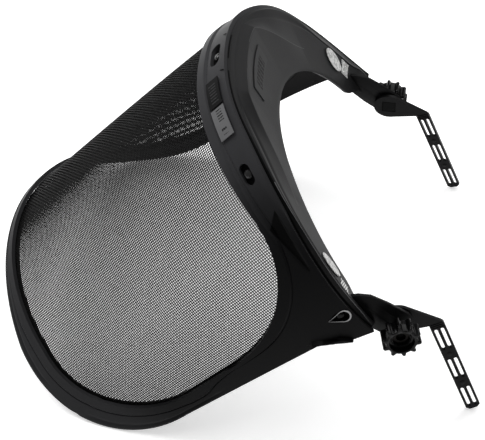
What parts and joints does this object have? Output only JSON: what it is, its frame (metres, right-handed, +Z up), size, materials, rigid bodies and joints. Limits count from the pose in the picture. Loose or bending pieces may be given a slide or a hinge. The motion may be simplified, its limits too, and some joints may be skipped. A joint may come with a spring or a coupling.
{
  "type": "mesh face shield",
  "caption": "Helmet-mounted safety face shield: a curved wire mesh visor in a moulded frame under a brow guard, hinged on slotted side brackets with hand knobs.",
  "frame": {"origin": "middle of the bounding box's underside, on the table the shield stands on", "axes": "+Z up; -Y towards the front of the visor, which leans back over its chin edge; +X the wearer's left; the shield rests on its two chin corners and its two blade tips"},
  "size_m": [0.2464, 0.301, 0.1997],
  "materials": {
    "guard_plastic": "moulded, matte dark grey",
    "frame_plastic": "moulded, satin black",
    "mesh_black": "black coated wire weave",
    "bracket_plastic": "moulded, satin near-black",
    "knob_plastic": "moulded, glossy black",
    "zinc_steel": "zinc plated",
    "brass": "turned brass",
    "label_white": "printed white sticker",
    "tag_dark": "matte black",
    "tag_light": "matte mid grey",
    "badge_grey": "moulded dark grey"
  },
  "bodies": {
    "shield": {"badge_plate": "badge_grey", "brow_guard": "guard_plastic", "end_stud_left": "zinc_steel", "end_stud_right": "zinc_steel", "mesh_retaining_ring": "frame_plastic", "mesh_screen": "mesh_black", "retaining_stud_centre": "zinc_steel", "retaining_stud_left": "zinc_steel", "retaining_stud_right": "zinc_steel", "round_label_left": "label_white", "round_label_right": "label_white", "tag_plate_dark": "tag_dark", "tag_plate_light": "tag_light", "text_label_left": "label_white", "text_label_right": "label_white", "visor_frame": "frame_plastic"},
    "bracket_left": {"pivot_bracket_left": "bracket_plastic", "pivot_bolt_left": "zinc_steel", "friction_washer_left": "zinc_steel"},
    "bracket_right": {"pivot_bracket_right": "bracket_plastic", "pivot_bolt_right": "zinc_steel", "friction_washer_right": "zinc_steel"},
    "hand_knob_left": {"knob_left": "knob_plastic", "knob_insert_left": "brass"},
    "hand_knob_right": {"knob_right": "knob_plastic", "knob_insert_right": "brass"}
  },
  "joints": [
    {"name": "bracket_left_tilt", "type": "hinge", "parent": "shield", "child": "bracket_left", "pos_m": [0.091, 0.0952, 0.07885], "axis": [0.9848, 0.1199, 0.1256], "range_deg": [-60, 90]},
    {"name": "bracket_right_tilt", "type": "hinge", "parent": "shield", "child": "bracket_right", "pos_m": [-0.091, 0.0952, 0.07885], "axis": [0.9848, -0.1199, -0.1256], "range_deg": [-60, 90]},
    {"name": "knob_left_turn", "type": "hinge", "parent": "bracket_left", "child": "hand_knob_left", "pos_m": [0.091, 0.0952, 0.07885], "axis": [0.9848, 0.1199, 0.1256], "continuous": true},
    {"name": "knob_right_turn", "type": "hinge", "parent": "bracket_right", "child": "hand_knob_right", "pos_m": [-0.091, 0.0952, 0.07885], "axis": [-0.9848, 0.1199, 0.1256], "continuous": true}
  ]
}
